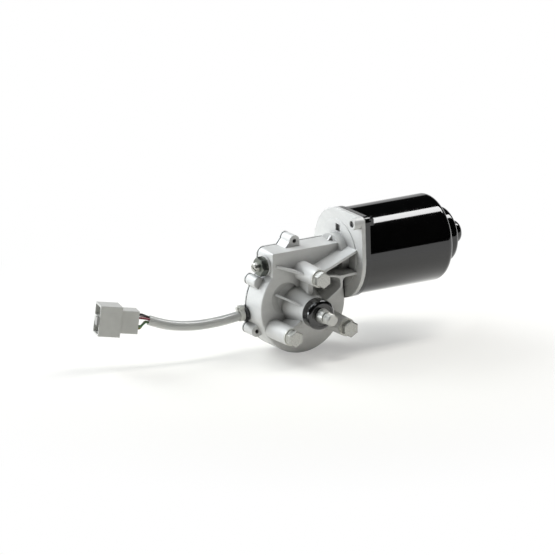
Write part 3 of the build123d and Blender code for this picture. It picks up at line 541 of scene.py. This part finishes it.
class MOTOR_OT_connector(MotorStep):
    """Finish the connector's shell, latch and terminals"""

    bl_idname = "motor.connector"
    bl_label = "Connector"

    def execute(self, context):
        colour = context.scene.motor_colours.connector
        finish_nodes(moulded_plastic("moulded_natural_nylon", colour), "connector_shell")
        finish_nodes(moulded_plastic("moulded_grey_nylon", shade(colour, 0.72)), "connector_latch")
        finish_nodes(plated_steel("tinned_brass", "#C9C2AE", 0.25), "connector_terminals")
        return {"FINISHED"}


class MOTOR_OT_lead_wires(MotorStep):
    """Finish the five lead wires between the cable's jacket and the connector"""

    bl_idname = "motor.lead_wires"
    bl_label = "Lead wires"

    def execute(self, context):
        for name, colour in LEAD_WIRES.items():
            finish_nodes(extruded_pvc(f"{name}_wire_pvc", colour, 0.3), f"wire_{name}")
        return {"FINISHED"}


class MOTOR_OT_cable(MotorStep):
    """Lay the free cable's jacket on its route from the grommet to the lead wires"""

    bl_idname = "motor.cable"
    bl_label = "Cable"

    def execute(self, context):
        diameter = context.scene.motor_sizes.cable_diameter
        curve = bpy.data.curves.new("cable_jacket", "CURVE")
        curve.dimensions = "3D"
        curve.bevel_depth = diameter / 2
        curve.bevel_resolution = 10
        curve.use_fill_caps = True
        line = curve.splines.new("NURBS")
        line.points.add(len(CABLE_ROUTE) - 1)
        for point, place in zip(line.points, CABLE_ROUTE):
            point.co = (*place, 1.0)
        line.order_u = 3
        line.use_endpoint_u = True
        line.resolution_u = 16
        curve.materials.append(extruded_pvc("grey_pvc_jacket", context.scene.motor_colours.cable))
        jacket = bpy.data.objects.new("cable_jacket", curve)
        context.scene.collection.objects.link(jacket)
        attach(jacket, "housing")
        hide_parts("cable_sheath")
        goes_along = [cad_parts[f"wire_{name}"] for name in LEAD_WIRES]
        goes_along += [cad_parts[f"connector_{part}"] for part in ("shell", "terminals", "latch")]
        return {"FINISHED"}


class MOTOR_OT_gear_train(MotorStep):
    """Finish the worm, the worm wheel and what turns with the wheel"""

    bl_idname = "motor.gear_train"
    bl_label = "Gear train"

    def execute(self, context):
        finish_nodes(turned_metal("rolled_steel_worm", "#C4C4C0", 0.24, "X"), "worm_shaft")
        finish_nodes(moulded_plastic("moulded_acetal", "#E4DFD0", 0.34), "worm_wheel")
        finish_nodes(plated_steel("sintered_steel", "#8B8B88", 0.45), "wheel_hub")
        finish_nodes(plated_steel("stamped_brass", "#C9A85B", 0.26), "park_disc")
        bronze = matt_solid("oil_filled_sintered_bronze", "#8A6238", 0.5, grain=0.5)
        finish_nodes(bronze, "front_shaft_bush", "rear_shaft_bush", "worm_bush", "tail_bearing")
        finish_nodes(moulded_plastic("acetal_thrust_pad", "#DED8C8", 0.36), "thrust_pad")
        return {"FINISHED"}


class MOTOR_OT_armature(MotorStep):
    """Finish the armature: its stack, windings and commutator"""

    bl_idname = "motor.armature"
    bl_label = "Armature"

    def execute(self, context):
        stack = stacked_sheet("electrical_steel_stack", "#4C4C4D", "#8D8D8E", "X", period=1.0,
                              metallic=1.0, roughness=0.4)
        wire = stacked_sheet("enamelled_copper_wire", "#5A2812", "#B4622E", "Y", period=0.9,
                             metallic=0.8, roughness=0.3)
        finish_nodes(stack, "armature_core")
        finish_nodes(wire, "armature_windings")
        finish_nodes(turned_metal("turned_copper", "#C07A55", 0.25, "X"), "commutator")
        return {"FINISHED"}


class MOTOR_OT_field(MotorStep):
    """Finish the field magnets, their clips and the brush gear"""

    bl_idname = "motor.field"
    bl_label = "Magnets and brush gear"

    def execute(self, context):
        finish_nodes(matt_solid("fired_ferrite", "#3A3A3D", 0.7, grain=0.8), "magnets")
        spring = plated_steel("blued_spring_strip", "#6A6E74", 0.3)
        finish_nodes(spring, "magnet_clips", "brush_springs")
        finish_nodes(moulded_plastic("moulded_phenolic", "#54351F", 0.42), "brush_plate")
        finish_nodes(plated_steel("drawn_brass", "#C4A156", 0.28), "brush_holders")
        finish_nodes(matt_solid("pressed_carbon", "#2C2C2C", 0.6, grain=0.4), "carbon_brushes")
        return {"FINISHED"}


class MOTOR_OT_bearings(MotorStep):
    """Finish the ball bearing at the neck and the pressed retainers"""

    bl_idname = "motor.bearings"
    bl_label = "Bearings"

    def execute(self, context):
        polished = plated_steel("polished_bearing_steel", "#CCCCCB", 0.12)
        finish_nodes(polished, "bearing_outer_race", "bearing_inner_race", "bearing_balls")
        pressed = plated_steel("pressed_zinc_sheet", "#C0C0BC", 0.34)
        finish_nodes(pressed, "bearing_retainer", "tail_retainer")
        return {"FINISHED"}


class MOTOR_OT_studio(MotorStep):
    """Set up the pale floor, the soft lamps, the ambient light and the photograph's camera"""

    bl_idname = "motor.studio"
    bl_label = "Studio"

    def execute(self, context):
        studio = context.scene.studio_settings
        lay_floor(studio.floor)
        light_world(studio.ambient)
        # The strip draws the white lines along the can and the cable, so it looks straight down
        add_panel("overhead_strip", (0.62, 0.0, 0.95), (0.62, 0.0, 0.0), length=0.9, width=0.26,
                  power=studio.overhead)
        add_panel("low_panel", (-1.2, 0.5, 0.12), (0.0, 0.03, 0.02), length=0.8, width=0.22,
                  power=studio.low, colour=studio.light)
        add_panel("back_panel", (-0.55, 1.3, 0.9), (0.0, 0.03, 0.02), length=1.0, width=0.9,
                  power=studio.back, colour=studio.light)
        add_panel("top_panel", (-0.45, 0.35, 1.1), (0.0, 0.03, 0.0), length=1.0, width=0.9,
                  power=studio.top, colour=studio.light)
        add_panel("front_lamp", (-0.3, -0.85, 1.35), (0.0, 0.02, 0.02), length=0.35, width=0.35,
                  power=studio.front)
        aim_camera()
        context.scene.view_settings.view_transform = "Standard"
        return {"FINISHED"}


# The stage

PLAIN_WHITE = (1.0, 1.0, 1.0, 1.0)
FLOOR_HALF = 6.0
FLOOR_GAP = 0.3 * MM

# How plain a white the floor looks under the motor, and the distances between which that rises
# to wholly plain
FLOOR_WHITENESS = 0.34
FLOOR_NEAR = 0.1
FLOOR_FAR = 0.4

# Strength of the backdrop and of the dark room in reflections
BACKDROP_LIGHT = 0.6
ROOM_LIGHT = 0.006


def lay_floor(colour):
    """A square floor just under the gear case. Cameras and reflections see it turn to plain
    white further out."""
    half = FLOOR_HALF
    level = CAD_BOX[0][2] - FLOOR_GAP
    corners = [(-half, -half, level), (half, -half, level), (half, half, level), (-half, half, level)]
    mesh = bpy.data.meshes.new("studio_floor")
    mesh.from_pydata(corners, [], [(0, 1, 2, 3)])
    material, tree, shader, place = new_finish("matt_white_floor", Roughness=0.9)
    shader.inputs["Base Color"].default_value = linear(colour)
    shader.inputs["Specular IOR Level"].default_value = 0.0
    away = add_node(tree, "ShaderNodeVectorMath", {0: place}, operation="LENGTH").outputs["Value"]
    fade = add_node(tree, "ShaderNodeMapRange", {
        "Value": away, "From Min": FLOOR_NEAR, "From Max": FLOOR_FAR,
        "To Min": FLOOR_WHITENESS, "To Max": 1.0}, interpolation_type="SMOOTHSTEP").outputs[0]
    path = add_node(tree, "ShaderNodeLightPath").outputs
    seen = add_node(tree, "ShaderNodeMath", {0: path["Is Camera Ray"], 1: path["Is Glossy Ray"]},
                    operation="MAXIMUM").outputs[0]
    factor = add_node(tree, "ShaderNodeMath", {0: fade, 1: seen}, operation="MULTIPLY").outputs[0]
    white = add_node(tree, "ShaderNodeEmission", {"Color": PLAIN_WHITE, "Strength": 1.0}).outputs[0]
    mix = add_node(tree, "ShaderNodeMixShader", {0: factor, 1: shader.outputs[0], 2: white})
    tree.links.new(mix.outputs[0], tree.nodes["Material Output"].inputs["Surface"])
    mesh.materials.append(material)
    floor = bpy.data.objects.new("studio_floor", mesh)
    bpy.context.scene.collection.objects.link(floor)


def light_world(strength):
    """Light from all round: plain white to the camera, and faint and even to matt surfaces.
    Reflections see a white backdrop low down behind the motor and a dark room elsewhere, so
    that gloss shows the lamps, the floor and the backdrop."""
    world = bpy.data.worlds.new("studio_world")
    bpy.context.scene.world = world
    world.use_nodes = True
    tree = world.node_tree
    ambient = tree.nodes["Background"]
    ambient.inputs["Color"].default_value = PLAIN_WHITE
    ambient.inputs["Strength"].default_value = strength
    path = add_node(tree, "ShaderNodeLightPath").outputs
    way = add_node(tree, "ShaderNodeTexCoord").outputs["Generated"]
    part = add_node(tree, "ShaderNodeSeparateXYZ", {0: way}).outputs
    behind = add_node(tree, "ShaderNodeMapRange", {
        "Value": part["Y"], "From Min": 0.1, "From Max": 0.6}).outputs[0]
    low = add_node(tree, "ShaderNodeMapRange", {
        "Value": part["Z"], "From Min": 0.35, "From Max": 0.31}).outputs[0]
    backdrop = add_node(tree, "ShaderNodeMath", {0: behind, 1: low}, operation="MULTIPLY").outputs[0]
    room = add_node(tree, "ShaderNodeMath", {0: backdrop, 1: BACKDROP_LIGHT, 2: ROOM_LIGHT},
                    operation="MULTIPLY_ADD").outputs[0]
    mirrored = add_node(tree, "ShaderNodeBackground", {"Color": PLAIN_WHITE, "Strength": room})
    white = add_node(tree, "ShaderNodeBackground", {"Color": PLAIN_WHITE, "Strength": 1.0})
    gloss = add_node(tree, "ShaderNodeMixShader",
                     {0: path["Is Glossy Ray"], 1: ambient.outputs[0], 2: mirrored.outputs[0]})
    seen = add_node(tree, "ShaderNodeMixShader",
                    {0: path["Is Camera Ray"], 1: gloss.outputs[0], 2: white.outputs[0]})
    tree.links.new(seen.outputs[0], tree.nodes["World Output"].inputs["Surface"])


def add_panel(name, place, aim, length, width, power, colour="#FFFFFF"):
    """A soft rectangular lamp at place that faces aim, its length along X where it can."""
    lamp = bpy.data.lights.new(name, "AREA")
    lamp.shape = "RECTANGLE"
    lamp.size = length
    lamp.size_y = width
    lamp.energy = power
    lamp.color = linear(colour)[:3]
    panel = bpy.data.objects.new(name, lamp)
    panel.location = place
    panel.rotation_mode = "QUATERNION"
    panel.rotation_quaternion = (Vector(aim) - Vector(place)).to_track_quat("-Z", "Y")
    bpy.context.scene.collection.objects.link(panel)


def aim_camera():
    """Put the camera far away at the photograph's angle, with a lens long enough to fill the
    picture as the photograph does."""
    sin_a, cos_a = math.sin(VIEW_AZIMUTH), math.cos(VIEW_AZIMUTH)
    sin_e, cos_e = math.sin(VIEW_ELEVATION), math.cos(VIEW_ELEVATION)
    back = Vector((sin_a * cos_e, -cos_a * cos_e, sin_e))
    right = Vector((cos_a, sin_a, 0))
    up = back.cross(right)
    data = bpy.data.cameras.new("photo_camera")
    data.sensor_width = SENSOR_WIDTH
    data.lens = SENSOR_WIDTH * CAMERA_DISTANCE / PICTURE_WIDTH
    data.clip_start = 0.05
    data.clip_end = 50
    camera = bpy.data.objects.new("photo_camera", data)
    camera.rotation_mode = "QUATERNION"
    camera.rotation_quaternion = (-back).to_track_quat("-Z", "Y")
    camera.location = right * AIM_RIGHT + up * AIM_UP + back * CAMERA_DISTANCE
    bpy.context.scene.collection.objects.link(camera)
    bpy.context.scene.camera = camera


# The add-on's panel and its run as a script

STEPS = (
    MOTOR_OT_studio,
    MOTOR_OT_cable,
    MOTOR_OT_castings,
    MOTOR_OT_can,
    MOTOR_OT_fasteners,
    MOTOR_OT_adjuster,
    MOTOR_OT_output_shaft,
    MOTOR_OT_seals,
    MOTOR_OT_connector,
    MOTOR_OT_lead_wires,
    MOTOR_OT_gear_train,
    MOTOR_OT_armature,
    MOTOR_OT_field,
    MOTOR_OT_bearings,
)


class MOTOR_PT_steps(bpy.types.Panel):
    """The motor's settings and steps"""

    bl_label = "Wiper Motor"
    bl_idname = "MOTOR_PT_steps"
    bl_space_type = "VIEW_3D"
    bl_region_type = "UI"
    bl_category = "Wiper Motor"

    def draw(self, context):
        for group in ("motor_colours", "motor_sizes", "studio_settings"):
            settings = getattr(context.scene, group)
            box = self.layout.box()
            for name in settings.bl_rna.properties.keys():
                if name not in ("rna_type", "name"):
                    box.prop(settings, name)
        for step in STEPS:
            self.layout.operator(step.bl_idname)


SETTINGS = {
    "motor_colours": MotorColours,
    "motor_sizes": MotorSizes,
    "studio_settings": StudioSettings,
}


def register():
    """Register the settings, the steps and the panel."""
    for cls in (*SETTINGS.values(), *STEPS, MOTOR_PT_steps):
        bpy.utils.register_class(cls)
    for name, cls in SETTINGS.items():
        setattr(bpy.types.Scene, name, bpy.props.PointerProperty(type=cls))


def unregister():
    """Take back what register did."""
    for name in SETTINGS:
        delattr(bpy.types.Scene, name)
    for cls in reversed((*SETTINGS.values(), *STEPS, MOTOR_PT_steps)):
        bpy.utils.unregister_class(cls)


def main():
    """Run every step in order."""
    register()
    for step in STEPS:
        group, name = step.bl_idname.split(".")
        getattr(getattr(bpy.ops, group), name)()
    bpy.context.view_layer.update()


if __name__ == "__main__":
    main()
